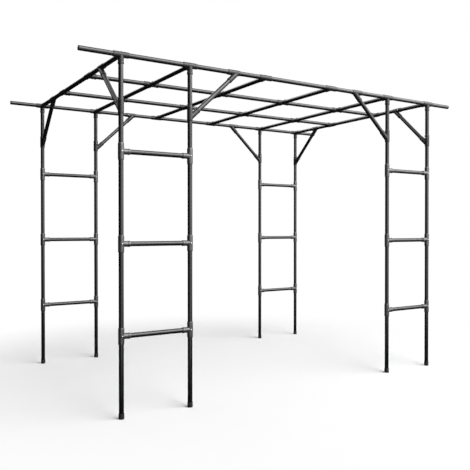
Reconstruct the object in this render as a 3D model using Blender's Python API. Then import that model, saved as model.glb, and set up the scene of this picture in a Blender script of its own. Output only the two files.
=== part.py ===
"""Garden arch of steel tube: four ladder legs under a flat grid roof, braced at the corners.

Straight lengths of one round tube are held together by cast fittings. A fitting has a sleeve,
which a tube runs through, and one or two sockets, in which other tubes end. Everything is in
metres, +Z is up, and the origin is on the ground under the middle of the roof. X runs from left
to right along the front, and Y from front to back.
"""

from math import cos, pi, sin

import bmesh
import bpy
from mathutils import Matrix, Vector

# Frame of the arch, between tube axes
RAIL_HEIGHT = 2.300
WALK_WIDTH = 1.860
LEG_WIDTH = 0.490
ROOF_DEPTH = 1.880
RAIL_OVERHANG = 0.270
LOWEST_RUNG = 0.524
BRACE_REACH = 0.375
BRACE_DROP = 0.350
RUNG_BELOW_BRACE = 0.258

# How many
RUNG_COUNT = 3
MIDDLE_CROSS_RAIL_COUNT = 2
INNER_RAIL_COUNT = 2

# Tube
TUBE_OUTSIDE = 0.032
TUBE_WALL = 0.0015

# Fittings
CLEARANCE = 0.0003
SLEEVE_WALL = 0.0032
SLEEVE_LENGTH = 0.110
SOCKET_WALL = 0.0025
SOCKET_DEPTH = 0.039
SOCKET_FLOOR = 0.004
SLANT_SOCKET_DEPTH = 0.045
SLANT_SLEEVE_LONG_END = 0.080
SLANT_SLEEVE_SHORT_END = 0.022
BEAD_HEIGHT = 0.001
BEAD_LENGTH = 0.015

# Foot caps under the posts and plugs in the ends of the long rails
CAP_WALL = 0.002
CAP_FLOOR = 0.004
CAP_HEIGHT = 0.035
PLUG_STEM = 0.015
PLUG_HEAD = 0.003
PLUG_CHAMFER = 0.0015

# Sides of each round shape, and the angle above which an edge stays sharp
SIDES = 8
SHARP_ANGLE = 1.0

# A socket's solid starts just off its sleeve's axis, and a cutter runs past the face it cuts
SOCKET_ROOT = 0.001
OVERCUT = 0.005

# Worked out from the sizes above
TUBE_RADIUS = TUBE_OUTSIDE / 2
TUBE_BORE = TUBE_RADIUS - TUBE_WALL
FIT_RADIUS = TUBE_RADIUS + CLEARANCE
SLEEVE_RADIUS = FIT_RADIUS + SLEEVE_WALL
SOCKET_RADIUS = FIT_RADIUS + SOCKET_WALL
SPAN = WALK_WIDTH + 2 * LEG_WIDTH
HIGHEST_RUNG = RAIL_HEIGHT - BRACE_DROP - RUNG_BELOW_BRACE

X_AXIS = Vector((1, 0, 0))
Y_AXIS = Vector((0, 1, 0))
Z_AXIS = Vector((0, 0, 1))

LEGS = {
    "front_left": (-1, -1),
    "back_left": (-1, 1),
    "back_right": (1, 1),
    "front_right": (1, -1),
}


def clear_scene():
    """Remove whatever the scene holds."""
    for thing in list(bpy.data.objects):
        bpy.data.objects.remove(thing, do_unlink=True)


def finish(name, colour, roughness, metallic):
    """Make a material from one colour, a roughness and a metallic value."""
    material = bpy.data.materials.new(name)
    material.use_nodes = True
    shader = material.node_tree.nodes["Principled BSDF"]
    shader.inputs["Base Color"].default_value = (*colour, 1)
    shader.inputs["Roughness"].default_value = roughness
    shader.inputs["Metallic"].default_value = metallic
    material.diffuse_color = (*colour, 1)
    return material


def spread(first, last, count):
    """Give count places, evenly spaced from first to last."""
    return [first + (last - first) * step / (count - 1) for step in range(count)]


def between(first, last, count):
    """Give count places that divide the way from first to last evenly, without its ends."""
    return spread(first, last, count + 2)[1:-1]


def frame_along(start, direction):
    """Give the matrix whose origin is start and whose Z axis is direction.

    Its Y axis leans to world +Z, or to world +X where direction is upright. A ring of a tube
    and the ring of the bore round it so have their corners side by side.
    """
    z = Vector(direction).normalized()
    lean = X_AXIS if z.x == z.y == 0 else Z_AXIS
    y = (lean - lean.dot(z) * z).normalized()
    x = y.cross(z)
    turn = Matrix((x, y, z)).transposed().to_4x4()
    return Matrix.Translation(start) @ turn


def turned(profile, closed=False):
    """Turn a profile of (radius, height) points round the Z axis into a closed mesh.

    The two end rings of an open profile are filled with flat faces. A closed profile has none.
    """
    shape = bmesh.new()
    corners = [shape.verts.new((0, radius, height)) for radius, height in profile]
    edges = [shape.edges.new(pair) for pair in zip(corners, corners[1:])]
    if closed:
        edges.append(shape.edges.new((corners[-1], corners[0])))
    bmesh.ops.spin(
        shape,
        geom=corners + edges,
        cent=(0, 0, 0),
        axis=(0, 0, 1),
        angle=2 * pi,
        steps=SIDES,
        use_merge=True,
    )
    bmesh.ops.holes_fill(shape, edges=[edge for edge in shape.edges if edge.is_boundary])
    bmesh.ops.recalc_face_normals(shape, faces=shape.faces)
    mesh = bpy.data.meshes.new("turned")
    shape.to_mesh(mesh)
    shape.free()
    return mesh


def rod(start, direction, low, high, radius):
    """Make a solid round bar along direction, from low to high as counted from start."""
    mesh = turned([(radius, low), (radius, high)])
    mesh.transform(frame_along(start, direction))
    return mesh


def carved(solids, bores):
    """Join overlapping solids into one, take the bores out of it and give the mesh."""
    body = bpy.data.objects.new("carved", solids[0])
    steps = [("UNION", mesh) for mesh in solids[1:]] + [("DIFFERENCE", mesh) for mesh in bores]
    helpers = []
    for operation, mesh in steps:
        helper = bpy.data.objects.new("helper", mesh)
        boolean = body.modifiers.new("boolean", "BOOLEAN")
        boolean.operation = operation
        boolean.object = helper
        helpers.append(helper)
    for thing in [body, *helpers]:
        bpy.context.scene.collection.objects.link(thing)
    evaluated = body.evaluated_get(bpy.context.evaluated_depsgraph_get())
    result = bpy.data.meshes.new_from_object(evaluated)
    for thing in [body, *helpers]:
        bpy.data.objects.remove(thing, do_unlink=True)
    return result


def seat(angle=pi / 2):
    """Give the way from a sleeve's axis to the floor of a socket that leaves it at an angle.

    The floor's nearest edge keeps SOCKET_FLOOR of metal to the sleeve's bore.
    """
    return (FIT_RADIUS + SOCKET_FLOOR + FIT_RADIUS * cos(angle)) / sin(angle)


def sleeve(centre, run, ahead=SLEEVE_LENGTH / 2, behind=SLEEVE_LENGTH / 2):
    """Give the solid and the bore of a sleeve along run, from behind its centre to ahead of it."""
    solid = rod(centre, run, -behind, ahead, SLEEVE_RADIUS)
    return solid, rod(centre, run, -behind - OVERCUT, ahead + OVERCUT, FIT_RADIUS)


def socket(centre, way, reach):
    """Make the solid of a socket from a sleeve's axis to its beaded mouth."""
    neck = reach - BEAD_LENGTH
    bead = SOCKET_RADIUS + BEAD_HEIGHT
    mesh = turned([(SOCKET_RADIUS, SOCKET_ROOT), (SOCKET_RADIUS, neck), (bead, neck), (bead, reach)])
    mesh.transform(frame_along(centre, way))
    return mesh


def empty(name, location, parent=None):
    """Add an empty that carries other pieces."""
    holder = bpy.data.objects.new(name, None)
    holder.location = location
    holder.parent = parent
    bpy.context.scene.collection.objects.link(holder)
    return holder


def piece(name, mesh, material, parent, place=None):
    """Add a named object with its material, at its place under its parent."""
    mesh.name = name
    mesh.materials.clear()
    mesh.materials.append(material)
    mesh.shade_smooth()
    mesh.set_sharp_from_angle(angle=SHARP_ANGLE)
    thing = bpy.data.objects.new(name, mesh)
    thing.parent = parent
    thing.matrix_local = place or Matrix()
    bpy.context.scene.collection.objects.link(thing)
    return thing


def tube(name, start, end, parent):
    """Add a plain tube between two points."""
    start = Vector(start)
    way = Vector(end) - start
    wall = [(TUBE_RADIUS, 0), (TUBE_RADIUS, way.length), (TUBE_BORE, way.length), (TUBE_BORE, 0)]
    return piece(name, turned(wall, closed=True), TUBE_PAINT, parent, frame_along(start, way))


def strut(name, start, end, runs, parent, depth=SOCKET_DEPTH, **sleeve_ends):
    """Add a tube whose ends are fused into cast fittings.

    start and end lie on the axes of the tubes that the two sleeves go round, and runs gives
    the directions of these axes. The tube's bore opens into both sleeves.
    """
    start, end = Vector(start), Vector(end)
    way = end - start
    solids = [rod(start, way, SOCKET_ROOT, way.length - SOCKET_ROOT, TUBE_RADIUS)]
    bores = [rod(start, way, 0, way.length, TUBE_BORE)]
    for centre, run, outward in ((start, runs[0], way), (end, runs[1], -way)):
        reach = seat(run.angle(outward)) + depth
        solid, bore = sleeve(centre, run, **sleeve_ends)
        solids += [solid, socket(centre, outward, reach)]
        bores.append(bore)
    return piece(name, carved(solids, bores), TUBE_PAINT, parent)


def inner_rail(name, y, columns, parent):
    """Add an inner rail: its tube, fused into a fitting round each cross rail that it meets."""
    first, last = Vector((columns[0], y, 0)), Vector((columns[-1], y, 0))
    length = (last - first).length
    solids = [rod(first, X_AXIS, SOCKET_ROOT, length - SOCKET_ROOT, TUBE_RADIUS)]
    bores = [rod(first, X_AXIS, 0, length, TUBE_BORE)]
    for x in columns:
        centre = Vector((x, y, 0))
        solid, bore = sleeve(centre, Y_AXIS)
        solids.append(solid)
        bores.append(bore)
        if x > columns[0]:
            solids.append(socket(centre, -X_AXIS, seat() + SOCKET_DEPTH))
        if x < columns[-1]:
            solids.append(socket(centre, X_AXIS, seat() + SOCKET_DEPTH))
    return piece(name, carved(solids, bores), TUBE_PAINT, parent)


def post_top(name, location, inward, parent):
    """Add the casting on a post's top: a sleeve for the long rail and two blind sockets."""
    origin = Vector()
    solid, bore = sleeve(origin, X_AXIS)
    solids, bores = [solid], [bore]
    reach = seat() + SOCKET_DEPTH
    for way in (-Z_AXIS, inward):
        solids.append(socket(origin, way, reach))
        bores.append(rod(origin, way, seat(), reach + OVERCUT, FIT_RADIUS))
    place = Matrix.Translation(location)
    return piece(name, carved(solids, bores), FITTING_PAINT, parent, place)


def foot_cap(name, location, parent):
    """Add the cup that a post's foot stands in."""
    outside = FIT_RADIUS + CAP_WALL
    cup = [(outside, 0), (outside, CAP_HEIGHT), (FIT_RADIUS, CAP_HEIGHT), (FIT_RADIUS, CAP_FLOOR)]
    return piece(name, turned(cup), CAP_PLASTIC, parent, frame_along(location, Z_AXIS))


def rail_plug(name, tip, outward, parent):
    """Add the plug that closes a long rail's end: its stem in the bore and its chamfered head."""
    stem = TUBE_BORE - CLEARANCE
    face = CLEARANCE + PLUG_HEAD
    head = [(TUBE_RADIUS, CLEARANCE), (TUBE_RADIUS, face - PLUG_CHAMFER), (TUBE_RADIUS - PLUG_CHAMFER, face)]
    profile = [(stem, -PLUG_STEM), (stem, CLEARANCE), *head]
    return piece(name, turned(profile), CAP_PLASTIC, parent, frame_along(tip, outward))


def build_leg(name, side, row, arch):
    """Build one ladder leg: two posts in their foot caps, the rungs, and the leg's two braces.

    side is -1 on the left and 1 on the right, row is -1 in front and 1 at the back. The leg's
    own frame stands on the ground, midway between its posts.
    """
    leg = empty("leg_" + name, (side * (WALK_WIDTH + LEG_WIDTH) / 2, row * ROOF_DEPTH / 2, 0), arch)
    top = RAIL_HEIGHT - seat() - CLEARANCE
    posts = {"outer": side * LEG_WIDTH / 2, "inner": -side * LEG_WIDTH / 2}
    for place, x in posts.items():
        foot_cap(f"foot_cap_{name}_{place}", (x, 0, 0), leg)
        tube(f"post_{name}_{place}", (x, 0, CAP_FLOOR + CLEARANCE), (x, 0, top), leg)
    half = LEG_WIDTH / 2
    for number, height in enumerate(spread(LOWEST_RUNG, HIGHEST_RUNG, RUNG_COUNT), 1):
        strut(f"rung_{name}_{number}", (-half, 0, height), (half, 0, height), (Z_AXIS, Z_AXIS), leg)
    brace(f"brace_{name}_along", posts["inner"], -side * X_AXIS, leg)
    brace(f"brace_{name}_across", posts["outer"], -row * Y_AXIS, leg)


def brace(name, post, heading, leg):
    """Add the brace that rises from a post to the rail above it, in a level heading."""
    low = Vector((post, 0, RAIL_HEIGHT - BRACE_DROP))
    high = Vector((post, 0, RAIL_HEIGHT)) + BRACE_REACH * heading
    ends = {"ahead": SLANT_SLEEVE_LONG_END, "behind": SLANT_SLEEVE_SHORT_END}
    return strut(name, low, high, (Z_AXIS, -heading), leg, depth=SLANT_SOCKET_DEPTH, **ends)


def build_roof(arch):
    """Build the flat grid: long rails, cross rails and inner rails, and the post top fittings."""
    roof = empty("roof", (0, 0, RAIL_HEIGHT), arch)
    front, back = -ROOF_DEPTH / 2, ROOF_DEPTH / 2
    post_columns = [-SPAN / 2, -WALK_WIDTH / 2, WALK_WIDTH / 2, SPAN / 2]
    middle_columns = between(-WALK_WIDTH / 2, WALK_WIDTH / 2, MIDDLE_CROSS_RAIL_COUNT)
    columns = sorted(post_columns + middle_columns)
    inset = seat() + CLEARANCE
    tip = SPAN / 2 + RAIL_OVERHANG
    for row, y, inward in (("front", front, Y_AXIS), ("back", back, -Y_AXIS)):
        tube("long_rail_" + row, (-tip, y, 0), (tip, y, 0), roof)
        rail_plug(f"rail_plug_{row}_left", (-tip, y, 0), -X_AXIS, roof)
        rail_plug(f"rail_plug_{row}_right", (tip, y, 0), X_AXIS, roof)
        for number, x in enumerate(post_columns, 1):
            post_top(f"post_top_{row}_{number}", (x, y, 0), inward, roof)
    for number, x in enumerate(columns, 1):
        name = f"cross_rail_{number}"
        if x in middle_columns:
            strut(name, (x, front, 0), (x, back, 0), (X_AXIS, X_AXIS), roof)
        else:
            tube(name, (x, front + inset, 0), (x, back - inset, 0), roof)
    for number, y in enumerate(between(front, back, INNER_RAIL_COUNT), 1):
        inner_rail(f"inner_rail_{number}", y, columns, roof)


clear_scene()
TUBE_PAINT = finish("tube_paint", (0.010, 0.010, 0.011), 0.28, 0.0)
FITTING_PAINT = finish("fitting_paint", (0.048, 0.049, 0.051), 0.45, 0.0)
CAP_PLASTIC = finish("cap_plastic", (0.012, 0.012, 0.013), 0.55, 0.0)

whole = empty("garden_arch", (0, 0, 0))
for leg_name, (leg_side, leg_row) in LEGS.items():
    build_leg(leg_name, leg_side, leg_row, whole)
build_roof(whole)
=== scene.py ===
"""Looks of the garden arch: painted steel tubes, cast fittings, screws, rail plugs and foot caps.

Every piece is built in metres in the frame of the CAD model, from the boxes of the CAD nodes that
it stands for. X runs from left to right along the front, Y from front to back, and +Z is up.
"""

import logging
from dataclasses import dataclass, field
from enum import Enum
from math import atan2, cos, dist, pi, radians, sin, tau
from typing import Any, Iterable, Optional, Sequence, Union

import bmesh
import bpy
from mathutils import Matrix, Vector


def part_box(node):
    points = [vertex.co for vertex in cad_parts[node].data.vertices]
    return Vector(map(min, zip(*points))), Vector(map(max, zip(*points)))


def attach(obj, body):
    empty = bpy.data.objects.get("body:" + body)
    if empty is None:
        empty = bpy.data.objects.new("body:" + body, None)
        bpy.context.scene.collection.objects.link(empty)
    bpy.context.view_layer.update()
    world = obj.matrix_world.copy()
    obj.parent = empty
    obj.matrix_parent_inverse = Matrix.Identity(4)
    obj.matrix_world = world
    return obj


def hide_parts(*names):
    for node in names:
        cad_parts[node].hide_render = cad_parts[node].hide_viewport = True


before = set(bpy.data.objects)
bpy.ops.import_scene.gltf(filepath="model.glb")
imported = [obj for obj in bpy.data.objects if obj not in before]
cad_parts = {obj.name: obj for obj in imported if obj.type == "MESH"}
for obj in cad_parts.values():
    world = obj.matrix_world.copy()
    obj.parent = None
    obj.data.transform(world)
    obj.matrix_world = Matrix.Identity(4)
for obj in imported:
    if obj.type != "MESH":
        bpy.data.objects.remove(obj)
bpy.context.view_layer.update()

LOG = logging.getLogger("garden_arch")

X_AXIS = Vector((1, 0, 0))
Y_AXIS = Vector((0, 1, 0))
Z_AXIS = Vector((0, 0, 1))

BODY = "root"

# Angles in degrees above which an edge stays sharp
SHARP_TURNED = 40.0
SHARP_CAST = 55.0
SHARP_SCREW = 35.0

# Mean angle in radians between the faces at a vertex from which it counts as an edge in full
EDGE_TURN = 0.35

# Each screw is turned by this many degrees more than the one before
SCREW_TURN = 37.0

# Each tube's streaks are read this many metres further on, so that no two tubes look alike
STREAK_SHIFT = 3.7

LEGS = {
    "front_left": (-1, -1),
    "back_left": (-1, 1),
    "back_right": (1, 1),
    "front_right": (1, -1),
}

Profile = Sequence[tuple[float, float]]
Colour = tuple[float, float, float]
Span = tuple[float, float]
Source = Union["Signal", float, Sequence[float]]

WHITE = (1.0, 1.0, 1.0)


class Slot(Enum):
    """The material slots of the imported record."""

    TUBE = "tube_paint"
    FITTING = "fitting_paint"
    CAP = "cap_plastic"


class Kind(Enum):
    """The five patterns of cast fitting."""

    TEE = "tee"
    CROSS = "cross"
    POST_TOP = "post_top"
    LOW_SLANT = "low_slant"
    HIGH_SLANT = "high_slant"


class Head(Enum):
    """The two kinds of fixing screw: domed ones in the sleeves, grub screws in the sockets."""

    DOMED = "domed"
    GRUB = "grub"


class Coat(Enum):
    """The two coats on the castings: grey paint at the rungs, and at the braces and above a darker,
    duller copy of it, which paints in shade.
    """

    GREY = "grey"
    CHARCOAL = "charcoal"


class Mark(Enum):
    """Attributes that the finishes read from a mesh."""

    ALONG = "along"
    SEAM = "seam"
    EDGE = "edge"


@dataclass(frozen=True)
class Stock:
    """Sizes in metres that the tubes and the fittings share, and how many faces go round them."""

    tube_radius: float = 0.0160
    tube_bore: float = 0.0145
    fit_radius: float = 0.0163
    clearance: float = 0.0003
    sleeve_radius: float = 0.0195
    sleeve_half: float = 0.0550
    long_end: float = 0.0800
    short_end: float = 0.0220
    socket_radius: float = 0.0188
    socket_floor: float = 0.0040
    socket_depth: float = 0.0390
    slant_depth: float = 0.0450
    bead_radius: float = 0.0198
    bead_length: float = 0.0150
    root: float = 0.0020
    boss_height: float = 0.0010
    screw_inset: float = 0.0125
    slant_screw: float = 0.0520
    sides: int = 48
    boss_sides: int = 24
    screw_sides: int = 28

    def seat(self, angle: float = pi / 2) -> float:
        """Find where the floor of a socket lies.

        Args:
            angle: Angle between the sleeve's axis and the socket's.

        Returns:
            The way from the sleeve's axis to the socket's floor.
        """
        return (self.fit_radius + self.socket_floor + self.fit_radius * cos(angle)) / sin(angle)


STOCK = Stock()


def middle(node: str) -> Vector:
    """Give the middle of a CAD node's box."""
    low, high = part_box(node)
    return (Vector(low) + Vector(high)) / 2


def extent(node: str) -> Vector:
    """Give the lengths of the sides of a CAD node's box."""
    low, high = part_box(node)
    return Vector(high) - Vector(low)


def aimed(origin: Vector, along: Vector, across: Vector) -> Matrix:
    """Make a matrix from an origin and two directions.

    Args:
        origin: Where the local origin goes.
        along: Direction of local Z.
        across: Direction that local X leans to.

    Returns:
        The matrix, right-handed and without scale.
    """
    z = along.normalized()
    x = (across - across.dot(z) * z).normalized()
    turn = Matrix((x, z.cross(x), z)).transposed().to_4x4()
    return Matrix.Translation(origin) @ turn


def lying(start: Vector, end: Vector) -> Matrix:
    """Make the matrix whose local Z runs from start to end, with no set turn about it."""
    across = Y_AXIS if abs((end - start).normalized().x) > 0.5 else X_AXIS
    return aimed(start, end - start, across)


def supported(profile: Profile, closed: bool, near: float = 0.0012) -> Profile:
    """Put a point close to both ends of each long straight, so that its faces shade straight.

    Args:
        profile: Points as (radius, height).
        closed: Whether the last point joins the first.
        near: Way from an end of a straight to its new point.

    Returns:
        The profile with the new points in it.
    """
    ends = [*profile[1:], profile[0]] if closed else list(profile[1:])
    result = []
    for first, last in zip(profile, ends):
        result.append(first)
        length = dist(first, last)
        if length > 4 * near:
            for share in (near / length, 1 - near / length):
                result.append(tuple(start + (end - start) * share for start, end in zip(first, last)))
    return result if closed else [*result, profile[-1]]


def finished(shape: bmesh.types.BMesh, name: str) -> bpy.types.Mesh:
    """Turn a bmesh into a mesh, and free it.

    Args:
        shape: The bmesh.
        name: The mesh's name.

    Returns:
        The mesh.
    """
    mesh = bpy.data.meshes.new(name)
    shape.to_mesh(mesh)
    shape.free()
    return mesh


def turned(
    profile: Profile,
    place: Optional[Matrix] = None,
    sides: int = STOCK.sides,
    closed: bool = False,
) -> bpy.types.Mesh:
    """Turn a profile round the local Z axis into a closed mesh.

    Args:
        profile: Points as (radius, height). A point of radius 0 becomes a pole.
        place: Where the mesh goes.
        sides: Number of faces round the axis.
        closed: Whether the last point joins the first, as for a tube's wall.

    Returns:
        The mesh, with its faces pointing outwards.
    """
    shape = bmesh.new()
    points = supported(profile, closed)
    corners = [shape.verts.new((radius, 0, height)) for radius, height in points]
    edges = [shape.edges.new(pair) for pair in zip(corners, corners[1:])]
    if closed:
        edges.append(shape.edges.new((corners[-1], corners[0])))
    bmesh.ops.spin(
        shape,
        geom=corners + edges,
        cent=(0, 0, 0),
        axis=(0, 0, 1),
        angle=tau,
        steps=sides,
        use_merge=True,
    )
    bmesh.ops.remove_doubles(shape, verts=shape.verts, dist=1e-7)
    bmesh.ops.holes_fill(shape, edges=[edge for edge in shape.edges if edge.is_boundary])
    bmesh.ops.recalc_face_normals(shape, faces=shape.faces)
    mesh = finished(shape, "turned")
    if place is not None:
        mesh.transform(place)
    return mesh


def added(name: str, mesh: bpy.types.Mesh) -> bpy.types.Object:
    """Add an object to the scene.

    Args:
        name: The object's name.
        mesh: The mesh that it shows.

    Returns:
        The object.
    """
    thing = bpy.data.objects.new(name, mesh)
    bpy.context.scene.collection.objects.link(thing)
    return thing


def joined(meshes: Iterable[bpy.types.Mesh]) -> bpy.types.Mesh:
    """Put several meshes into one, each as it lies.

    Args:
        meshes: The meshes, which stay as they are.

    Returns:
        The mesh of them all.
    """
    shape = bmesh.new()
    for mesh in meshes:
        shape.from_mesh(mesh)
    return finished(shape, "joined")


def cut(body: bpy.types.Object, cutters: Sequence[bpy.types.Object]) -> bpy.types.Mesh:
    """Cut other objects out of one, and remove them all from the scene.

    Args:
        body: The object to cut. Modifiers that it already has come first.
        cutters: The objects to take out of it.

    Returns:
        The mesh of what is left.
    """
    for cutter in cutters:
        taking = body.modifiers.new(cutter.name, "BOOLEAN")
        taking.operation = "DIFFERENCE"
        taking.object = cutter
    evaluated = body.evaluated_get(bpy.context.evaluated_depsgraph_get())
    mesh = bpy.data.meshes.new_from_object(evaluated)
    for thing in (body, *cutters):
        bpy.data.objects.remove(thing, do_unlink=True)
    return mesh


def placed(master: bpy.types.Mesh, place: Matrix) -> bpy.types.Mesh:
    """Copy a mesh to a place.

    Args:
        master: The mesh to copy.
        place: Where it goes. It may mirror the mesh.

    Returns:
        The copy, with its faces pointing outwards.
    """
    mesh = master.copy()
    mesh.transform(place)
    if place.determinant() < 0:
        shape = bmesh.new()
        shape.from_mesh(mesh)
        bmesh.ops.recalc_face_normals(shape, faces=shape.faces)
        shape.to_mesh(mesh)
        shape.free()
    return mesh


def marked(mesh: bpy.types.Mesh, mark: Mark, values: Sequence[Any]) -> None:
    """Write an attribute of the vertices.

    Args:
        mesh: The mesh to mark.
        mark: Which attribute.
        values: One number, or one vector, for each vertex.
    """
    if mark is Mark.ALONG:
        layer = mesh.attributes.new(mark.value, "FLOAT_VECTOR", "POINT")
        layer.data.foreach_set("vector", [part for value in values for part in value])
    else:
        layer = mesh.attributes.new(mark.value, "FLOAT", "POINT")
        layer.data.foreach_set("value", list(values))


def edges_of(mesh: bpy.types.Mesh) -> list[float]:
    """Measure how much a mesh bulges at each vertex.

    Args:
        mesh: The mesh to measure.

    Returns:
        For each vertex, a number from 0 where flat or hollow to 1 at an edge.
    """
    shape = bmesh.new()
    shape.from_mesh(mesh)
    bulges = []
    for vertex in shape.verts:
        turns = [edge.calc_face_angle_signed(0) for edge in vertex.link_edges]
        bulges.append(min(1.0, max(0.0, sum(turns) / len(turns) / EDGE_TURN)))
    shape.free()
    return bulges


def fitted(
    name: str,
    mesh: bpy.types.Mesh,
    finish: bpy.types.Material,
    slot: Slot,
    nodes: Iterable[str],
    sharp: float = SHARP_TURNED,
) -> None:
    """Add one piece of the arch.

    Args:
        name: The piece's name.
        mesh: Its mesh, already in place.
        finish: Its material.
        slot: The record's slot for the piece's finish. Not used.
        nodes: The CAD nodes that it stands for.
        sharp: Angle in degrees above which an edge stays sharp.
    """
    mesh.name = name
    mesh.materials.clear()
    mesh.materials.append(finish)
    mesh.shade_smooth()
    mesh.set_sharp_from_angle(angle=radians(sharp))
    thing = added(name, mesh)
    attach(thing, BODY)
    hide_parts(*nodes)
    triangles = sum(len(face.vertices) - 2 for face in mesh.polygons)
    LOG.info("%s: %d triangles", name, triangles)


class Signal:
    """A shader socket that takes part in Python expressions, each of which adds a Math node."""

    def __init__(self, recipe: "Recipe", socket: bpy.types.NodeSocket) -> None:
        """Keep a socket and the recipe that it belongs to."""
        self.recipe = recipe
        self.socket = socket

    def __add__(self, other: Source) -> "Signal":
        """Give the sum."""
        return self.recipe.maths("ADD", self, other)

    def __sub__(self, other: Source) -> "Signal":
        """Give the difference."""
        return self.recipe.maths("SUBTRACT", self, other)

    def __rsub__(self, other: Source) -> "Signal":
        """Give the difference from a number."""
        return self.recipe.maths("SUBTRACT", other, self)

    def __mul__(self, other: Source) -> "Signal":
        """Give the product."""
        return self.recipe.maths("MULTIPLY", self, other)

    def __abs__(self) -> "Signal":
        """Give the size without its sign."""
        return self.recipe.maths("ABSOLUTE", self, 0.0)

    __radd__ = __add__
    __rmul__ = __mul__


class Recipe:
    """The node tree of one material or world, built up from nothing."""

    def __init__(self, owner: Union[bpy.types.Material, bpy.types.World]) -> None:
        """Start an empty tree on its owner.

        Args:
            owner: The material or world that the tree belongs to.
        """
        owner.use_nodes = True
        self.owner = owner
        self.tree = owner.node_tree
        self.tree.nodes.clear()

    @staticmethod
    def found(sockets: Iterable[bpy.types.NodeSocket], label: str) -> bpy.types.NodeSocket:
        """Find a socket by its identifier or its name.

        Args:
            sockets: A node's inputs or outputs.
            label: The identifier or the name.

        Returns:
            The first socket that answers to it.
        """
        for socket in sockets:
            if label in (socket.identifier, socket.name):
                return socket
        raise KeyError(label)

    def add(self, kind: str, inputs: dict[str, Source], **settings: Any) -> bpy.types.Node:
        """Add a node to the tree.

        Args:
            kind: The node's type.
            inputs: Values or links of its sockets, by identifier or name.
            **settings: Properties of the node, which are set first.

        Returns:
            The node.
        """
        made = self.tree.nodes.new(kind)
        for key, value in settings.items():
            setattr(made, key, value)
        for label, source in inputs.items():
            socket = self.found(made.inputs, label)
            if isinstance(source, Signal):
                self.tree.links.new(source.socket, socket)
            elif socket.type == "RGBA":
                socket.default_value = (*source, 1)
            else:
                socket.default_value = source
        return made

    def node(self, kind: str, out: str, inputs: dict[str, Source], **settings: Any) -> Signal:
        """Add a node, and give the output that is called out by its identifier or its name."""
        made = self.add(kind, inputs, **settings)
        return Signal(self, self.found(made.outputs, out))

    def maths(self, operation: str, first: Source, second: Source) -> Signal:
        """Add a Math node on one or two numbers."""
        inputs = {"Value": first, "Value_001": second}
        return self.node("ShaderNodeMath", "Value", inputs, operation=operation)

    def place(self) -> Signal:
        """Read the place on the object, in metres."""
        return self.node("ShaderNodeTexCoord", "Object", {})

    def noise(self, place: Signal, scale: float, detail: float = 2.0) -> Signal:
        """Add a Noise Texture of a scale per metre, which varies from about 0.3 to 0.7."""
        inputs = {"Vector": place, "Scale": scale, "Detail": detail}
        return self.node("ShaderNodeTexNoise", "Fac", inputs)

    def scaled(self, place: Signal, factors: Sequence[float]) -> Signal:
        """Stretch a place by a factor along each axis."""
        inputs = {"Vector": place, "Vector_001": factors}
        return self.node("ShaderNodeVectorMath", "Vector", inputs, operation="MULTIPLY")

    def eased(self, value: Signal, start: float, end: float) -> Signal:
        """Ease from 0 to 1 while a value goes from start to end, which may be the lower."""
        inputs = {"Value": value, "From Min": start, "From Max": end}
        return self.node("ShaderNodeMapRange", "Result", inputs, interpolation_type="SMOOTHSTEP")

    def mixed(self, factor: Source, first: Source, second: Source) -> Signal:
        """Mix two colours."""
        inputs = {"Factor_Float": factor, "A_Color": first, "B_Color": second}
        return self.node("ShaderNodeMix", "Result_Color", inputs, data_type="RGBA")

    def mark(self, mark: Mark) -> Signal:
        """Read an attribute of the mesh."""
        out = "Vector" if mark is Mark.ALONG else "Fac"
        return self.node("ShaderNodeAttribute", out, {}, attribute_name=mark.value)

    def relief(self, height: Signal, depth: float, strength: float) -> Signal:
        """Add a Bump node whose height of 1 stands depth metres proud."""
        inputs = {"Height": height, "Distance": depth, "Strength": strength}
        return self.node("ShaderNodeBump", "Normal", inputs)

    def surface(self, inputs: dict[str, Source]) -> None:
        """Finish a material with a Principled BSDF."""
        self.output(self.node("ShaderNodeBsdfPrincipled", "BSDF", inputs))

    def output(self, shader: Signal) -> None:
        """Link a material's surface, or a world's background, to the tree's output."""
        lights = isinstance(self.owner, bpy.types.World)
        self.add("ShaderNodeOutputWorld" if lights else "ShaderNodeOutputMaterial", {"Surface": shader})


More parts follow.
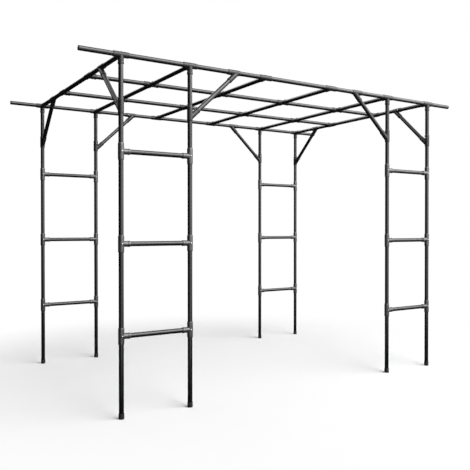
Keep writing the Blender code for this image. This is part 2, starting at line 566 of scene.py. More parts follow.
@dataclass(frozen=True)
class TubePaint:
    """Semi-gloss charcoal paint on drawn steel tube.

    A grain is a noise's scale per metre, and a stretch multiplies it along the tube. A span is the value
    at which something starts to show and the one at which it shows in full. A cover is the most that a
    colour hides.
    """

    name: str = "charcoal_tube_paint"
    colour: Colour = (0.0045, 0.0046, 0.0051)
    faded: Colour = (0.0080, 0.0081, 0.0088)
    dust_and_top_light: Colour = (0.080, 0.078, 0.072)
    scored: Colour = (0.10, 0.10, 0.105)
    gloss: float = 0.17
    dull: float = 0.08
    shine: float = 0.70
    patch_grain: float = 9.0
    patch_span: Span = (0.38, 0.66)
    streak_grain: float = 620.0
    streak_stretch: float = 0.012
    peel_grain: float = 760.0
    score_grain: float = 1500.0
    score_stretch: float = 0.05
    score_span: Span = (0.735, 0.78)
    score_cover: float = 0.35
    handled_grain: float = 34.0
    handled_span: Span = (0.52, 0.62)
    dust_and_top_light_grain: float = 130.0
    dust_and_top_light_span: Span = (0.42, 0.68)
    dust_and_top_light_cover: float = 0.16
    upward_span: Span = (0.55, 1.0)
    depth: float = 0.00012
    strength: float = 0.45

    def make(self) -> bpy.types.Material:
        """Build the material: orange peel, drawing streaks, hairline scratches, and dust on the upward
        faces, which also paints their tops lighter as if lit from above.

        Returns:
            The material.
        """
        paint = Recipe(bpy.data.materials.new(self.name))
        place = paint.place()
        along = paint.mark(Mark.ALONG)
        patches = paint.noise(place, self.patch_grain, 3.0)
        drawn = paint.scaled(along, (1.0, 1.0, self.streak_stretch))
        streaks = paint.noise(drawn, self.streak_grain)
        peel = paint.noise(place, self.peel_grain, 1.5)
        dragged = paint.scaled(along, (1.0, 1.0, self.score_stretch))
        scores = paint.eased(paint.noise(dragged, self.score_grain, 0.0), *self.score_span)
        handled = paint.eased(paint.noise(along, self.handled_grain), *self.handled_span)
        scratch = scores * handled
        # Upward faces turn lighter in patches: settled dust, and also a painted lightening of the tops
        # where light falls from above
        facing = paint.node("ShaderNodeNewGeometry", "Normal", {})
        upward = paint.node("ShaderNodeSeparateXYZ", "Z", {"Vector": facing})
        dust_and_top_light_patches = paint.eased(paint.noise(place, self.dust_and_top_light_grain, 4.0), *self.dust_and_top_light_span)
        dust_and_top_light_mask = paint.eased(upward, *self.upward_span) * dust_and_top_light_patches
        base = paint.mixed(paint.eased(patches, *self.patch_span), self.colour, self.faded)
        base = paint.mixed(dust_and_top_light_mask * self.dust_and_top_light_cover, base, self.dust_and_top_light)
        base = paint.mixed(scratch * self.score_cover, base, self.scored)
        rough = self.gloss + self.dull * patches + 0.06 * streaks + 0.14 * dust_and_top_light_mask + 0.10 * scratch
        bumps = peel * 0.55 + streaks * 0.35 - scratch * 0.6
        paint.surface(
            {
                "Base Color": base,
                "Roughness": rough,
                "Specular IOR Level": self.shine,
                "Normal": paint.relief(bumps, self.depth, self.strength),
            }
        )
        return paint.owner


@dataclass(frozen=True)
class CastPaint:
    """Satin paint on sand cast fittings, grey unless its colours say otherwise.

    Grains, spans and covers are as in the paint of the tubes. A span that falls shows low values, and the
    seam's is in metres from the parting plane.
    """

    name: str = "grey_cast_paint"
    colour: Colour = (0.0280, 0.0284, 0.0296)
    light: Colour = (0.0620, 0.0627, 0.0646)
    dark: Colour = (0.0130, 0.0130, 0.0139)
    worn: Colour = (0.1900, 0.1880, 0.1850)
    gloss: float = 0.20
    shine: float = 1.00
    patch_grain: float = 42.0
    patch_span: Span = (0.35, 0.65)
    patch_cover: float = 0.45
    cast_grain: float = 1150.0
    speckle_grain: float = 2300.0
    light_span: Span = (0.56, 0.70)
    light_cover: float = 0.75
    dark_span: Span = (0.44, 0.32)
    dark_cover: float = 0.55
    pit_grain: float = 430.0
    pit_span: Span = (0.335, 0.285)
    pit_cover: float = 0.7
    seam_span: Span = (0.0009, 0.0003)
    rub_grain: float = 260.0
    rub_span: Span = (0.50, 0.66)
    rub_cover: float = 0.55
    depth: float = 0.00022
    strength: float = 0.55

    def make(self) -> bpy.types.Material:
        """Build the material: cast grain, pits, speckle, a parting line and worn edges.

        Returns:
            The material.
        """
        paint = Recipe(bpy.data.materials.new(self.name))
        place = paint.place()
        patches = paint.noise(place, self.patch_grain, 3.0)
        grain = paint.noise(place, self.cast_grain, 3.0)
        speckle = paint.noise(place, self.speckle_grain, 1.0)
        pits = paint.eased(paint.noise(place, self.pit_grain, 1.0), *self.pit_span)
        line = paint.eased(abs(paint.mark(Mark.SEAM)), *self.seam_span)
        edge = paint.mark(Mark.EDGE)
        rub = edge * paint.eased(paint.noise(place, self.rub_grain, 4.0), *self.rub_span)
        patched = paint.eased(patches, *self.patch_span) * self.patch_cover
        base = paint.mixed(patched, self.colour, self.light)
        base = paint.mixed(paint.eased(speckle, *self.light_span) * self.light_cover, base, self.light)
        base = paint.mixed(paint.eased(speckle, *self.dark_span) * self.dark_cover, base, self.dark)
        base = paint.mixed(pits * self.pit_cover, base, self.dark)
        base = paint.mixed(rub * self.rub_cover, base, self.worn)
        rough = self.gloss + 0.12 * patches + 0.08 * grain - 0.06 * edge
        bumps = grain * 0.55 + line * 0.9 - pits * 1.1
        paint.surface(
            {
                "Base Color": base,
                "Roughness": rough,
                "Specular IOR Level": self.shine,
                "Normal": paint.relief(bumps, self.depth, self.strength),
            }
        )
        return paint.owner


CAST_PAINTS = {
    Coat.GREY: CastPaint(),
    # The grey paint made darker and less shiny, which paints the shade that falls on the fittings of the
    # braces and the roof
    Coat.CHARCOAL: CastPaint(
        name="painted_shade_cast_paint",
        colour=(0.0090, 0.0092, 0.0098),
        light=(0.0220, 0.0223, 0.0232),
        dark=(0.0050, 0.0050, 0.0054),
        worn=(0.0900, 0.0890, 0.0880),
        gloss=0.22,
        shine=0.50,
    ),
}


@dataclass(frozen=True)
class PlainFinish:
    """An even finish with a fine texture, which takes another colour and gloss in patches.

    Grains, spans and covers are as in the paint of the tubes. A detail is how many finer layers a noise
    has, and a shift is what a patch or the texture adds to the roughness.
    """

    name: str
    colour: Colour
    patched: Colour
    patch_grain: float
    patch_detail: float
    patch_span: Span
    patch_cover: float
    patch_shift: float
    fine_grain: float
    fine_detail: float
    fine_shift: float
    depth: float
    strength: float
    rough: float
    metal: float = 1.0
    shine: float = 0.5

    def make(self) -> bpy.types.Material:
        """Build the material.

        Returns:
            The material.
        """
        finish = Recipe(bpy.data.materials.new(self.name))
        place = finish.place()
        patches = finish.noise(place, self.patch_grain, self.patch_detail)
        patch = finish.eased(patches, *self.patch_span)
        texture = finish.noise(place, self.fine_grain, self.fine_detail)
        finish.surface(
            {
                "Base Color": finish.mixed(patch * self.patch_cover, self.colour, self.patched),
                "Metallic": self.metal,
                "Roughness": self.rough + self.patch_shift * patch + self.fine_shift * texture,
                "Specular IOR Level": self.shine,
                "Normal": finish.relief(texture, self.depth, self.strength),
            }
        )
        return finish.owner


# Moulded caps and plugs, with a spark-eroded texture and scuffs
PLASTIC = PlainFinish(
    name="black_moulded_plastic",
    colour=(0.0130, 0.0130, 0.0138),
    patched=(0.0450, 0.0440, 0.0420),
    patch_grain=160.0,
    patch_detail=4.0,
    patch_span=(0.56, 0.68),
    patch_cover=0.5,
    patch_shift=0.16,
    fine_grain=2100.0,
    fine_detail=1.0,
    fine_shift=0.08,
    depth=0.00010,
    strength=0.5,
    rough=0.46,
    metal=0.0,
    shine=0.45,
)

# Bright plate with dull blooms and handling marks, and black oxide that is rubbed in places
SCREW_FINISHES = {
    Head.DOMED: PlainFinish(
        name="bright_zinc_plate",
        colour=(0.700, 0.705, 0.715),
        patched=(0.470, 0.475, 0.490),
        patch_grain=520.0,
        patch_detail=3.0,
        patch_span=(0.45, 0.66),
        patch_cover=0.6,
        patch_shift=0.18,
        fine_grain=3600.0,
        fine_detail=2.0,
        fine_shift=0.06,
        depth=0.00005,
        strength=0.4,
        rough=0.24,
    ),
    Head.GRUB: PlainFinish(
        name="black_oxide_steel",
        colour=(0.045, 0.045, 0.048),
        patched=(0.150, 0.148, 0.145),
        patch_grain=640.0,
        patch_detail=3.0,
        patch_span=(0.50, 0.68),
        patch_cover=0.5,
        patch_shift=-0.08,
        fine_grain=3200.0,
        fine_detail=1.0,
        fine_shift=0.08,
        depth=0.00005,
        strength=0.4,
        rough=0.42,
    ),
}


@dataclass(frozen=True)
class StudioFloor:
    """Plain pale floor, which turns to pure white away from the arch where it is seen, and which gives
    back light as a mid grey, painting shade on the arch's undersides.
    """

    name: str = "studio_floor"
    colour: Colour = (0.92, 0.92, 0.92)
    mottled: Colour = (0.87, 0.87, 0.87)
    # Mid grey that only the light bounced off the floor takes, which paints shade on the undersides of
    # the arch
    painted_shade_bounce: Colour = (0.50, 0.50, 0.50)
    mottle_grain: float = 3.0
    mottle_cover: float = 0.4
    rough: float = 0.6
    plain_from: float = 1.2
    white_from: float = 3.4

    def make(self) -> bpy.types.Material:
        """Build the material.

        Returns:
            The material.
        """
        floor = Recipe(bpy.data.materials.new(self.name))
        place = floor.place()
        far = floor.node("ShaderNodeVectorMath", "Value", {"Vector": place}, operation="LENGTH")
        mottle = floor.noise(place, self.mottle_grain)
        shade = floor.mixed(mottle * self.mottle_cover, self.colour, self.mottled)
        shade = floor.mixed(seen(floor), self.painted_shade_bounce, shade)
        matt = floor.node("ShaderNodeBsdfDiffuse", "BSDF", {"Color": shade, "Roughness": self.rough})
        white = floor.node("ShaderNodeEmission", "Emission", {"Color": WHITE})
        factor = seen(floor) * floor.eased(far, self.plain_from, self.white_from)
        mix = floor.node(
            "ShaderNodeMixShader", "Shader", {"Fac": factor, "Shader": matt, "Shader_001": white}
        )
        floor.output(mix)
        return floor.owner


def seen(recipe: Recipe) -> Signal:
    """Tell the rays that show the background, which are camera, glossy and transmission rays.

    Args:
        recipe: The tree to add the nodes to.

    Returns:
        1 for those rays, otherwise 0.
    """
    camera = recipe.node("ShaderNodeLightPath", "Is Camera Ray", {})
    glossy = recipe.node("ShaderNodeLightPath", "Is Glossy Ray", {})
    through = recipe.node("ShaderNodeLightPath", "Is Transmission Ray", {})
    return recipe.maths("MINIMUM", camera + glossy + through, 1.0)


@dataclass(frozen=True)
class ScrewSeat:
    """The boss on a casting that a fixing screw is driven through."""

    foot: Vector
    way: Vector
    height: float
    head: Head
    radius: float = 0.0058
    soft: float = 0.0006

    def boss(self) -> bpy.types.Mesh:
        """Make the boss, from near the axis of the tube that the screw holds.

        Returns:
            The mesh.
        """
        profile = [
            (self.radius, STOCK.root),
            (self.radius, self.height - self.soft),
            (self.radius - self.soft, self.height),
        ]
        return turned(profile, aimed(self.foot, self.way, self.away()), STOCK.boss_sides)

    def away(self) -> Vector:
        """Give a direction that isn't the boss's own."""
        return X_AXIS if abs(self.way.x) < 0.5 else Z_AXIS

    def top(self) -> Matrix:
        """Give the place of the screw's head on the boss."""
        return aimed(self.foot + self.way * self.height, self.way, self.away())


@dataclass(frozen=True)
class Branch:
    """A socket of a casting, at an angle to the sleeve's axis in the local XZ plane."""

    angle: float = pi / 2
    toward: Vector = field(default_factory=lambda: X_AXIS.copy())
    depth: float = STOCK.socket_depth
    screw_side: Vector = field(default_factory=lambda: Y_AXIS.copy())

    def way(self) -> Vector:
        """Give the direction of the socket, away from the sleeve."""
        return Z_AXIS * cos(self.angle) + self.toward * sin(self.angle)

    def seat(self) -> float:
        """Give the way from the sleeve's axis to the socket's floor."""
        return STOCK.seat(self.angle)

    def reach(self) -> float:
        """Give the way from the sleeve's axis to the socket's mouth."""
        return self.seat() + self.depth

    def solid(self) -> bpy.types.Mesh:
        """Make the outside: the neck, a groove and the mouth's bead.

        Returns:
            The mesh.
        """
        neck, bead, end = STOCK.socket_radius, STOCK.bead_radius, self.reach()
        start = end - STOCK.bead_length
        groove = neck - 0.0009
        profile = [
            (neck, STOCK.root),
            (neck, start - 0.0040),
            (groove, start - 0.0028),
            (groove, start - 0.0008),
            (bead, start + 0.0004),
            (bead, end - 0.0026),
            (bead - 0.0006, end - 0.0009),
            (bead - 0.0018, end),
        ]
        return turned(profile, aimed(Vector(), self.way(), Y_AXIS))

    def bore(self) -> bpy.types.Mesh:
        """Make the cutter of the blind bore, with a flared mouth.

        Returns:
            The mesh.
        """
        flare, over = 0.0006, 0.004
        inside, end = STOCK.fit_radius, self.reach()
        profile = [
            (inside, self.seat()),
            (inside, end - flare),
            (inside + flare, end),
            (inside + flare, end + over),
        ]
        return turned(profile, aimed(Vector(), self.way(), Y_AXIS))

    def screw_seat(self) -> ScrewSeat:
        """Give the seat of the screw that holds the tube in this socket.

        Returns:
            The seat.
        """
        along = self.reach() - STOCK.bead_length - STOCK.screw_inset
        height = STOCK.socket_radius + STOCK.boss_height
        return ScrewSeat(self.way() * along, self.screw_side, height, Head.GRUB)


@dataclass
class Casting:
    """A pattern of cast fitting: a sleeve round local Z, with its sockets, screw seats and bores.

    The pattern's mesh is made once, and each fitting is a copy of it.
    """

    kind: Kind
    branches: tuple[Branch, ...]
    ahead: float = STOCK.sleeve_half
    behind: float = STOCK.sleeve_half
    screw_height: float = 0.0
    screw_side: Vector = field(default_factory=lambda: -Y_AXIS)
    voxel: float = 0.0008
    passes: int = 7
    kept_share: float = 0.085
    mesh: Optional[bpy.types.Mesh] = None

    def seats(self) -> list[ScrewSeat]:
        """Give the screw seats: one on the sleeve, and one on each socket.

        Returns:
            The seats.
        """
        foot = Z_AXIS * self.screw_height
        own = ScrewSeat(foot, self.screw_side, STOCK.sleeve_radius + STOCK.boss_height, Head.DOMED)
        return [own] + [branch.screw_seat() for branch in self.branches]

    def sleeve(self) -> bpy.types.Mesh:
        """Make the outside of the sleeve, whose ends taper softly.

        Returns:
            The mesh.
        """
        full = STOCK.sleeve_radius
        taper = [
            (full - 0.0021, 0.0),
            (full - 0.0014, 0.0010),
            (full - 0.0009, 0.0036),
            (full - 0.0003, 0.0080),
            (full, 0.0120),
        ]
        lower = [(radius, height - self.behind) for radius, height in taper]
        upper = [(radius, self.ahead - height) for radius, height in taper]
        return turned(lower + upper[::-1])

    def bore(self) -> bpy.types.Mesh:
        """Make the cutter of the sleeve's bore, with flared mouths.

        Returns:
            The mesh.
        """
        flare, over, inside = 0.0005, 0.004, STOCK.fit_radius
        mouth = inside + flare
        lower = [(mouth, -self.behind - over), (mouth, -self.behind), (inside, flare - self.behind)]
        upper = [(inside, self.ahead - flare), (mouth, self.ahead), (mouth, self.ahead + over)]
        return turned(lower + upper)

    def make(self) -> None:
        """Cast the pattern: melt the solids into one soft-edged body, bore it, and mark it."""
        solids = [self.sleeve(), *(branch.solid() for branch in self.branches)]
        solids += [seat.boss() for seat in self.seats()]
        body = added("pattern", joined(solids))
        melt = body.modifiers.new("melt", "REMESH")
        melt.mode = "VOXEL"
        melt.voxel_size = self.voxel
        soften = body.modifiers.new("soften", "SMOOTH")
        soften.factor = 0.5
        soften.iterations = self.passes
        thin = body.modifiers.new("thin", "DECIMATE")
        thin.ratio = self.kept_share
        bores = [self.bore(), *(branch.bore() for branch in self.branches)]
        self.mesh = cut(body, [added("bore", mesh) for mesh in bores])
        marked(self.mesh, Mark.SEAM, [vertex.co.y for vertex in self.mesh.vertices])
        marked(self.mesh, Mark.EDGE, edges_of(self.mesh))
        LOG.info("pattern %s: %d faces", self.kind.value, len(self.mesh.polygons))


@dataclass(frozen=True)
class Screw:
    """The head of a fixing screw, with a hexagon socket in it."""

    radius: float
    height: float
    recess: float = 0.0016
    depth: float = 0.0015

    def make(self) -> bpy.types.Mesh:
        """Make the head, from just inside the boss to the top of the dome.

        Returns:
            The mesh.
        """
        rim, top = self.radius, self.height
        profile = [
            (rim, -0.0010),
            (rim, 0.25 * top),
            (0.91 * rim, 0.50 * top),
            (0.72 * rim, 0.80 * top),
            (0.50 * rim, top),
        ]
        head = added("head", turned(profile, sides=STOCK.screw_sides))
        shape = bmesh.new()
        bmesh.ops.create_cone(
            shape,
            cap_ends=True,
            segments=6,
            radius1=self.recess,
            radius2=self.recess,
            depth=2 * self.depth,
            matrix=Matrix.Translation((0, 0, top)),
        )
        return cut(head, [added("hexagon", finished(shape, "hexagon"))])


# A domed screw stands on its boss, and a grub screw is almost flush with it
SCREWS = {
    Head.DOMED: Screw(radius=0.0042, height=0.0023),
    Head.GRUB: Screw(radius=0.0033, height=0.0004),
}


@dataclass
class ScrewBox:
    """The screws of one sub-assembly, in place, and the CAD nodes that they hold."""

    meshes: dict[Head, list[bpy.types.Mesh]] = field(default_factory=lambda: {head: [] for head in Head})
    nodes: set[str] = field(default_factory=set)


@dataclass
class Workshop:
    """What every sub-assembly draws on: the cast patterns, the screws and the finishes."""

    castings: dict[Kind, Casting] = field(default_factory=dict)
    screws: dict[Head, bpy.types.Mesh] = field(default_factory=dict)
    tubes_made: int = 0
    screws_set: int = 0
    tube_paint: Optional[bpy.types.Material] = None
    cast_paint: dict[Coat, bpy.types.Material] = field(default_factory=dict)
    plastic: Optional[bpy.types.Material] = None
    screw_finish: dict[Head, bpy.types.Material] = field(default_factory=dict)

    def prepare(self, brace_angle: float) -> None:
        """Mix the finishes and cast the patterns.

        Args:
            brace_angle: Angle of a brace to the post that it rises from.
        """
        self.tube_paint = TubePaint().make()
        self.cast_paint = {coat: paint.make() for coat, paint in CAST_PAINTS.items()}
        self.plastic = PLASTIC.make()
        self.screw_finish = {head: finish.make() for head, finish in SCREW_FINISHES.items()}
        slanted = {"ahead": STOCK.long_end, "behind": STOCK.short_end, "screw_height": STOCK.slant_screw}
        patterns = [
            Casting(Kind.TEE, (Branch(),)),
            Casting(Kind.CROSS, (Branch(), Branch(toward=-X_AXIS)), screw_side=Y_AXIS),
            Casting(
                Kind.POST_TOP,
                (Branch(), Branch(toward=-Y_AXIS, screw_side=X_AXIS)),
                screw_side=Y_AXIS,
            ),
            Casting(
                Kind.LOW_SLANT,
                (Branch(brace_angle, depth=STOCK.slant_depth, screw_side=-Y_AXIS),),
                **slanted,
            ),
            Casting(
                Kind.HIGH_SLANT,
                (Branch(pi / 2 - brace_angle, depth=STOCK.slant_depth, screw_side=-Y_AXIS),),
                **slanted,
            ),
        ]
        for casting in patterns:
            casting.make()
            self.castings[casting.kind] = casting
        self.screws = {head: screw.make() for head, screw in SCREWS.items()}

    def tube(self, name: str, start: Vector, end: Vector, node: str) -> None:
        """Add a length of tube.

        Args:
            name: The piece's name.
            start: Middle of its first end.
            end: Middle of its last end.
            node: The CAD node that it stands for.
        """
        outside, inside, soft = STOCK.tube_radius, STOCK.tube_bore, 0.0004
        round_off = 0.3 * soft
        length = (end - start).length
        wall = [
            (outside - soft, 0),
            (outside - round_off, round_off),
            (outside, soft),
            (outside, length - soft),
            (outside - round_off, length - round_off),
            (outside - soft, length),
            (inside + soft, length),
            (inside, length - soft),
            (inside, soft),
            (inside + soft, 0),
        ]
        mesh = turned(wall, closed=True)
        self.tubes_made += 1
        shift = Vector((0, 0, STREAK_SHIFT * self.tubes_made))
        marked(mesh, Mark.ALONG, [vertex.co + shift for vertex in mesh.vertices])
        mesh.transform(lying(start, end))
        fitted(name, mesh, self.tube_paint, Slot.TUBE, [node])

    def fitting(self, name: str, kind: Kind, coat: Coat, place: Matrix, node: str, box: ScrewBox) -> None:
        """Add a cast fitting.

        Args:
            name: The piece's name.
            kind: Which pattern.
            coat: Which paint.
            place: Where it goes. It may mirror the pattern.
            node: The CAD node that it stands for.
            box: Where its screws are kept until its sub-assembly is whole.
        """
        casting = self.castings[kind]
        mesh = placed(casting.mesh, place)
        fitted(name, mesh, self.cast_paint[coat], Slot.FITTING, [node], SHARP_CAST)
        box.nodes.add(node)
        for seat in casting.seats():
            self.screws_set += 1
            turn = Matrix.Rotation(radians(SCREW_TURN * self.screws_set), 4, "Z")
            box.meshes[seat.head].append(placed(self.screws[seat.head], place @ seat.top() @ turn))

    def drive(self, name: str, box: ScrewBox) -> None:
        """Add the screws of one sub-assembly, each kind as one piece.

        Args:
            name: The sub-assembly's name.
            box: Its screws.
        """
        for head, meshes in box.meshes.items():
            piece = f"{head.value}_screws_{name}"
            held = sorted(box.nodes)
            fitted(piece, joined(meshes), self.screw_finish[head], Slot.FITTING, held, SHARP_SCREW)


@dataclass
class FootCap:
    """The moulded cup that a post's foot stands in."""

    wall: float = 0.0020
    floor: float = 0.0040
    ring: float = 0.0005
    ring_levels: tuple[float, ...] = (0.30, 0.50, 0.70)

    def build(self, shop: Workshop, name: str) -> None:
        """Build the cup, with a rounded foot and three grip rings.

        Args:
            shop: The workshop.
            name: The CAD node's name, which the piece's name comes from.
        """
        low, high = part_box(name)
        centre, height = middle(name), high[2] - low[2]
        inside = STOCK.fit_radius
        outside = inside + self.wall
        profile = [(0, 0), (outside - 0.0030, 0), (outside - 0.0009, 0.0006), (outside, 0.0028)]
        for level in self.ring_levels:
            rib = height * level
            profile += [
                (outside, rib - 0.0014),
                (outside + self.ring, rib - 0.0006),
                (outside + self.ring, rib + 0.0006),
                (outside, rib + 0.0014),
            ]
        profile += [
            (outside, height - 0.0012),
            (outside - 0.0006, height - 0.0002),
            (outside - 0.0012, height),
            (inside, height - 0.0008),
            (inside, self.floor),
            (0, self.floor),
        ]
        mesh = turned(profile, Matrix.Translation((centre.x, centre.y, low[2])))
        fitted("moulded_" + name, mesh, shop.plastic, Slot.CAP, [name])


@dataclass
class RailPlug:
    """The domed plug that closes a long rail's end."""

    stem_length: float = 0.0150
    head_height: float = 0.0030

    def build(self, shop: Workshop, name: str, tip: Vector, outward: Vector) -> None:
        """Build the plug.

        Args:
            shop: The workshop.
            name: The CAD node's name, which the piece's name comes from.
            tip: Middle of the rail's end.
            outward: Direction out of the rail.
        """
        stem = STOCK.tube_bore - STOCK.clearance
        edge, gap = STOCK.tube_radius, STOCK.clearance
        top = gap + self.head_height
        profile = [
            (0, -self.stem_length),
            (stem - 0.0010, -self.stem_length),
            (stem, 0.0010 - self.stem_length),
            (stem, gap),
            (edge - 0.0002, gap),
            (edge, gap + 0.0003),
            (edge, gap + 0.0008),
            (edge - 0.0005, gap + 0.0017),
            (edge - 0.0018, top - 0.0006),
            (edge - 0.0040, top - 0.0002),
            (0, top),
        ]
        mesh = turned(profile, aimed(tip, outward, Y_AXIS))
        fitted("domed_" + name, mesh, shop.plastic, Slot.CAP, [name])


@dataclass
class Leg:
    """One ladder leg: two posts in their foot caps, the rungs between them, and two braces."""

    name: str
    side: int
    row: int
    shop: Workshop
    rungs: int = 3
    cap: FootCap = field(default_factory=FootCap)
    screws: ScrewBox = field(default_factory=ScrewBox)

    def build(self) -> None:
        """Build the leg."""
        self.build_posts()
        for number in range(1, self.rungs + 1):
            self.build_rung(number)
        inner, outer = (middle(f"post_{self.name}_{place}") for place in ("inner", "outer"))
        self.build_brace("along", inner, -self.side * X_AXIS, -self.row * Y_AXIS)
        self.build_brace("across", outer, -self.row * Y_AXIS, -self.side * X_AXIS)
        self.shop.drive(self.name, self.screws)

    def build_posts(self) -> None:
        """Build the two posts and their foot caps."""
        for place in ("outer", "inner"):
            node = f"post_{self.name}_{place}"
            low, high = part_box(node)
            centre = middle(node)
            foot = Vector((centre.x, centre.y, low[2]))
            self.shop.tube(f"tube_{node}", foot, Vector((centre.x, centre.y, high[2])), node)
            self.cap.build(self.shop, f"foot_cap_{self.name}_{place}")

    def build_rung(self, number: int) -> None:
        """Build a rung and the tees that hold it to the posts.

        Args:
            number: Which rung.
        """
        node = f"rung_{self.name}_{number}"
        centre = middle(node)
        half = extent(node).x / 2 - STOCK.sleeve_radius
        inset = (half - STOCK.seat() - STOCK.clearance) * X_AXIS
        self.shop.tube(f"tube_{node}", centre - inset, centre + inset, node)
        for label, way in (("left", X_AXIS), ("right", -X_AXIS)):
            up = Z_AXIS if way.x > 0 else -Z_AXIS
            place = aimed(centre - half * way, up, way)
            self.shop.fitting(f"tee_{node}_{label}", Kind.TEE, Coat.GREY, place, node, self.screws)

    def build_brace(self, way: str, post: Vector, heading: Vector, face: Vector) -> None:
        """Build a brace and the two slanted fittings that hold it.

        Args:
            way: Which of the leg's braces it is.
            post: Middle of the post that it rises from.
            heading: Level direction in which it rises.
            face: Direction that its screws face.
        """
        node = f"brace_{self.name}_{way}"
        sides = extent(node)
        along_box = sides.x if abs(heading.x) > 0.5 else sides.y
        reach = along_box - STOCK.sleeve_radius - STOCK.short_end
        drop = sides.z - STOCK.sleeve_radius - STOCK.short_end
        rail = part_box(node)[1][2] - STOCK.sleeve_radius
        low = Vector((post.x, post.y, rail - drop))
        high = Vector((post.x, post.y, rail)) + reach * heading
        slope = (high - low).normalized()
        angle = atan2(reach, drop)
        start = low + slope * (STOCK.seat(angle) + STOCK.clearance)
        end = high - slope * (STOCK.seat(pi / 2 - angle) + STOCK.clearance)
        self.shop.tube(f"tube_{node}", start, end, node)
        for label, kind, origin, along, across in (
            ("low", Kind.LOW_SLANT, low, Z_AXIS, heading),
            ("high", Kind.HIGH_SLANT, high, -heading, -Z_AXIS),
        ):
            place = aimed(origin, along, across)
            if (place.to_3x3() @ -Y_AXIS).dot(face) < 0:
                place = place @ Matrix.Scale(-1, 4, Y_AXIS)
            piece = f"fitting_{node}_{label}"
            self.shop.fitting(piece, kind, Coat.CHARCOAL, place, node, self.screws)


@dataclass
class Roof:
    """The flat grid: long rails, cross rails, inner rails and the fittings where they meet."""

    shop: Workshop
    columns: int = 6
    inner_rows: int = 2
    posts_a_row: int = 4
    tee_columns: tuple[int, ...] = (3, 4)
    plug: RailPlug = field(default_factory=RailPlug)
    screws: ScrewBox = field(default_factory=ScrewBox)

    def build(self) -> None:
        """Build the roof."""
        across = [middle(f"cross_rail_{number}").x for number in range(1, self.columns + 1)]
        for row, inward in (("front", Y_AXIS), ("back", -Y_AXIS)):
            self.build_long_rail(row)
            self.build_post_tops(row, inward)
        self.build_cross_rails()
        for number in range(1, self.inner_rows + 1):
            self.build_inner_rail(number, across)
        self.shop.drive("roof", self.screws)

    def build_long_rail(self, row: str) -> None:
        """Build a long rail and the plugs in its ends.

        Args:
            row: Front or back.
        """
        node = f"long_rail_{row}"
        centre, half = middle(node), extent(node).x / 2 * X_AXIS
        self.shop.tube(f"tube_{node}", centre - half, centre + half, node)
        for label, outward in (("left", -X_AXIS), ("right", X_AXIS)):
            tip = centre + outward * half.length
            self.plug.build(self.shop, f"rail_plug_{row}_{label}", tip, outward)

    def build_post_tops(self, row: str, inward: Vector) -> None:
        """Build the fittings on top of one row of posts.

        Args:
            row: Front or back.
            inward: Direction of the cross rails from this row.
        """
        axis = middle(f"long_rail_{row}")
        for number in range(1, self.posts_a_row + 1):
            node = f"post_top_{row}_{number}"
            origin = Vector((middle(node).x, axis.y, axis.z))
            place = aimed(origin, inward.cross(Z_AXIS), inward)
            piece = f"fitting_{node}"
            self.shop.fitting(piece, Kind.POST_TOP, Coat.CHARCOAL, place, node, self.screws)

    def build_cross_rails(self) -> None:
        """Build the cross rails, and the tees of those that end on the long rails."""
        front, back = middle("long_rail_front"), middle("long_rail_back")
        inset = STOCK.seat() + STOCK.clearance
        for number in range(1, self.columns + 1):
            node = f"cross_rail_{number}"
            x = middle(node).x
            start = Vector((x, front.y + inset, front.z))
            end = Vector((x, back.y - inset, back.z))
            self.shop.tube(f"tube_{node}", start, end, node)
            if number not in self.tee_columns:
                continue
            for label, rail, way in (("front", front, Y_AXIS), ("back", back, -Y_AXIS)):
                origin = Vector((x, rail.y, rail.z))
                place = aimed(origin, -way.cross(Z_AXIS), way)
                piece = f"tee_{node}_{label}"
                self.shop.fitting(piece, Kind.TEE, Coat.CHARCOAL, place, node, self.screws)

    def build_inner_rail(self, number: int, across: Sequence[float]) -> None:
        """Build an inner rail: its lengths of tube, the crosses between them and its end tees.

        Args:
            number: Which inner rail.
            across: Places of the cross rails.
        """
        node = f"inner_rail_{number}"
        centre = middle(node)
        inset = STOCK.seat() + STOCK.clearance
        height = middle("long_rail_front").z
        for index, (left, right) in enumerate(zip(across, across[1:]), 1):
            start = Vector((left + inset, centre.y, height))
            end = Vector((right - inset, centre.y, height))
            self.shop.tube(f"tube_{node}_{index}", start, end, node)
        for index, x in enumerate(across, 1):
            is_end = index in (1, len(across))
            kind, label = (Kind.TEE, "end_tee") if is_end else (Kind.CROSS, "cross")
            way = -X_AXIS if index == len(across) else X_AXIS
            along = -way.cross(Z_AXIS) if is_end else way.cross(Z_AXIS)
            place = aimed(Vector((x, centre.y, height)), along, way)
            piece = f"{label}_{node}_{index}"
            self.shop.fitting(piece, kind, Coat.CHARCOAL, place, node, self.screws)


def pointed(place: Sequence[float], way: Vector) -> Matrix:
    """Make the matrix of a lamp or camera at a place, which looks along a way."""
    return Matrix.Translation(place) @ way.to_track_quat("-Z", "Y").to_matrix().to_4x4()


@dataclass(frozen=True)
class Softbox:
    """An area lamp that points at the arch."""

    name: str
    place: tuple[float, float, float]
    width: float
    height: float
    power: float
    target: tuple[float, float, float] = (0.0, 0.0, 1.2)

    def build(self) -> None:
        """Hang the lamp."""
        lamp = bpy.data.lights.new(self.name, "AREA")
        lamp.shape = "RECTANGLE"
        lamp.size = self.width
        lamp.size_y = self.height
        lamp.energy = self.power
        thing = bpy.data.objects.new(self.name, lamp)
        thing.matrix_world = pointed(self.place, Vector(self.target) - Vector(self.place))
        thing.visible_camera = False
        bpy.context.scene.collection.objects.link(thing)


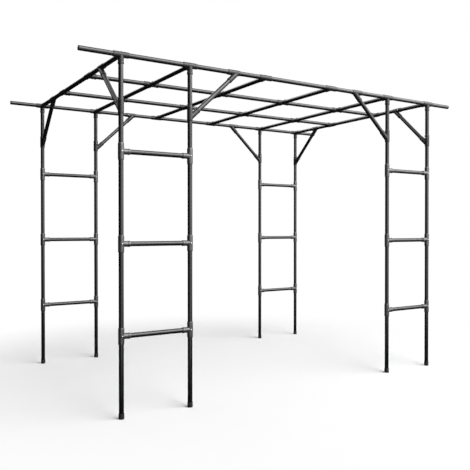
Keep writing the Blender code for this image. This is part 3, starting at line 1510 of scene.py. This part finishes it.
@dataclass(frozen=True)
class DarkCards:
    """Black cards seen only in the gloss of the arch, which give its tubes their dark sides.

    One is a curved screen that runs from the right of the arch round its back and its left to the front
    left, with a foot that reaches in over the floor. The other is a round mat, which lies under the arch
    and to its right. Angles are in degrees from +X towards +Y.
    """

    radius: float = 5.5
    height: float = 4.2
    first: float = 12.0
    last: float = 228.0
    steps: int = 36
    inner: float = 2.1
    mat_middle: float = 1.9
    mat_radius: float = 3.9
    mat_sides: int = 64
    level: float = 0.002
    colour: Colour = (0.01, 0.01, 0.01)

    def build(self) -> None:
        """Stand up the screen and lay down the mat."""
        black = Recipe(bpy.data.materials.new("black_card"))
        black.output(black.node("ShaderNodeBsdfDiffuse", "BSDF", {"Color": self.colour}))
        for mesh in (self.screen(), self.mat()):
            name = mesh.name
            mesh.materials.append(black.owner)
            card = added(name, mesh)
            card.visible_camera = False
            card.visible_diffuse = False
            card.visible_transmission = False
            card.visible_shadow = False

    def mat(self) -> bpy.types.Mesh:
        """Make the round mat.

        Returns:
            The mesh.
        """
        shape = bmesh.new()
        lift = Matrix.Translation((self.mat_middle, 0, 2 * self.level))
        sides, radius = self.mat_sides, self.mat_radius
        bmesh.ops.create_circle(shape, cap_ends=True, segments=sides, radius=radius, matrix=lift)
        return finished(shape, "dark_mat")

    def screen(self) -> bpy.types.Mesh:
        """Make the curved screen and its foot.

        Returns:
            The mesh.
        """
        shape = bmesh.new()
        turn = Matrix.Rotation(radians(self.first), 3, "Z")
        outline = ((self.inner, self.level), (self.radius, self.level), (self.radius, self.height))
        corners = [shape.verts.new(turn @ Vector((away, 0, level))) for away, level in outline]
        edges = [shape.edges.new(pair) for pair in zip(corners, corners[1:])]
        bmesh.ops.spin(
            shape,
            geom=corners + edges,
            cent=(0, 0, 0),
            axis=(0, 0, 1),
            angle=radians(self.last - self.first),
            steps=self.steps,
        )
        return finished(shape, "dark_screen")


@dataclass(frozen=True)
class Studio:
    """The pale floor, the lamps, the dark cards, the white surround and the camera."""

    floor_size: float = 60.0
    surround: float = 0.10
    camera_place: tuple[float, float, float] = (-2.842, -4.558, 1.202)
    camera_way: tuple[float, float, float] = (0.5315, 0.8470, -0.0098)
    lens: float = 46.39
    lamps: tuple[Softbox, ...] = (
        Softbox("key", (3.35, -6.30, 6.68), width=11.5, height=6.2, power=1230.0),
        Softbox("window", (3.6, -8.1, 2.2), width=12.0, height=2.2, power=165.0),
        Softbox("rear", (-1.5, 7.0, 7.5), width=9.0, height=3.0, power=190.0),
    )

    def build(self) -> None:
        """Build the studio."""
        self.build_floor()
        self.build_surround()
        for lamp in self.lamps:
            lamp.build()
        DarkCards().build()
        self.build_camera()
        bpy.context.scene.view_settings.view_transform = "Standard"

    def build_floor(self) -> None:
        """Lay the floor at the feet of the arch."""
        shape = bmesh.new()
        bmesh.ops.create_grid(shape, x_segments=1, y_segments=1, size=self.floor_size / 2)
        mesh = finished(shape, "floor")
        mesh.materials.append(StudioFloor().make())
        floor = added("floor", mesh)

    def build_surround(self) -> None:
        """Make the world: white where it is seen, and a plain fill light elsewhere."""
        world = bpy.data.worlds.new("surround")
        bpy.context.scene.world = world
        recipe = Recipe(world)
        shown = seen(recipe)
        strength = self.surround + shown * (1.0 - self.surround)
        inputs = {"Color": WHITE, "Strength": strength}
        recipe.output(recipe.node("ShaderNodeBackground", "Background", inputs))

    def build_camera(self) -> None:
        """Set up the camera at the photograph's angle."""
        camera = bpy.data.cameras.new("camera")
        camera.sensor_fit = "HORIZONTAL"
        camera.lens = self.lens
        thing = bpy.data.objects.new("camera", camera)
        thing.matrix_world = pointed(self.camera_place, Vector(self.camera_way))
        bpy.context.scene.collection.objects.link(thing)
        bpy.context.scene.camera = thing


def brace_angle() -> float:
    """Measure the angle of the braces to their posts, from the box of one of them.

    Returns:
        The angle in radians.
    """
    sides = extent("brace_front_left_along")
    taken = STOCK.sleeve_radius + STOCK.short_end
    return atan2(sides.x - taken, sides.z - taken)


def main() -> None:
    """Build the studio and the arch in order."""
    logging.basicConfig(level=logging.INFO, format="%(message)s")
    Studio().build()
    shop = Workshop()
    shop.prepare(brace_angle())
    for name, (side, row) in LEGS.items():
        Leg(name, side, row, shop).build()
    Roof(shop).build()
    LOG.info("%d tubes, %d screws", shop.tubes_made, shop.screws_set)


if __name__ == "__main__":
    main()
